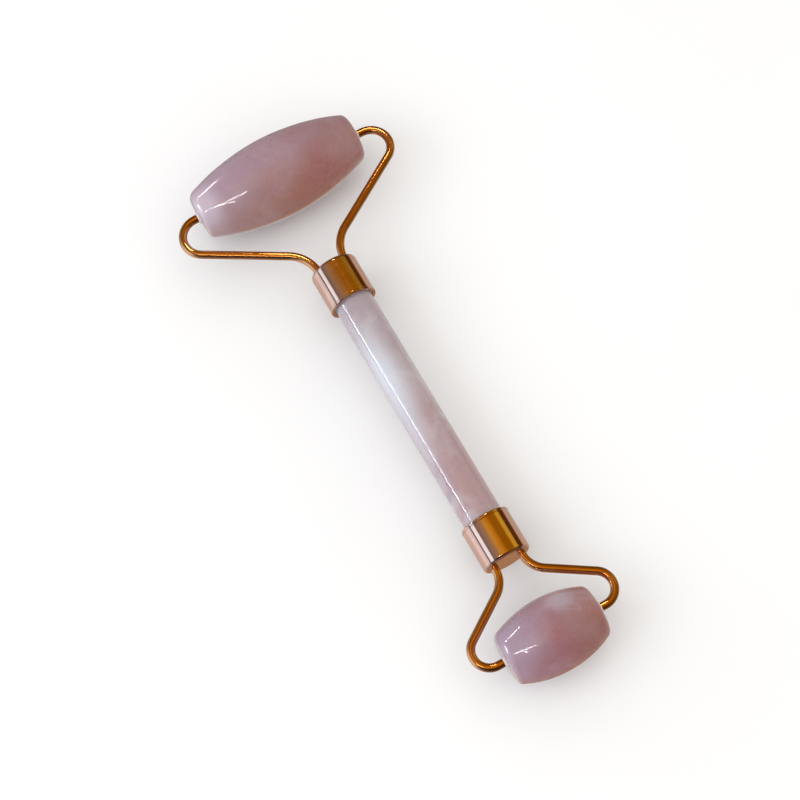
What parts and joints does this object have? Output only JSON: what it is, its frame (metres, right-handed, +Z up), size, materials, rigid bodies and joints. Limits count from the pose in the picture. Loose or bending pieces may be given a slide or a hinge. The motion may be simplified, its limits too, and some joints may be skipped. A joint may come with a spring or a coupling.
{
  "type": "face roller",
  "caption": "Two-headed stone face roller: a polished stone handle with a metal ferrule and bent wire fork at each end, and a barrel-shaped stone turning freely in each fork.",
  "frame": {"origin": "middle of the handle rod, on its axis", "axes": "+X along the handle towards the large head, Y along both roller axes, +Z up from the plane of the two forks"},
  "size_m": [0.1464, 0.057, 0.0196],
  "materials": {
    "roller_quartz": "polished",
    "handle_quartz": "polished",
    "rose_gold": "polished plating",
    "clear_plastic": "smooth",
    "cured_resin": "smooth"
  },
  "bodies": {
    "handle": {"handle_rod": "handle_quartz", "large_ferrule": "rose_gold", "small_ferrule": "rose_gold", "large_resin": "cured_resin", "small_resin": "cured_resin", "large_fork": "rose_gold", "small_fork": "rose_gold"},
    "large_roller": {"large_stone": "roller_quartz", "large_bush_left": "clear_plastic", "large_bush_right": "clear_plastic"},
    "small_roller": {"small_stone": "roller_quartz", "small_bush_left": "clear_plastic", "small_bush_right": "clear_plastic"}
  },
  "joints": [
    {"name": "large_roller_spin", "type": "hinge", "parent": "handle", "child": "large_roller", "pos_m": [0.06835, 0, 0], "axis": [0, 1, 0], "continuous": true},
    {"name": "small_roller_spin", "type": "hinge", "parent": "handle", "child": "small_roller", "pos_m": [-0.0597, 0, 0], "axis": [0, 1, 0], "continuous": true}
  ]
}
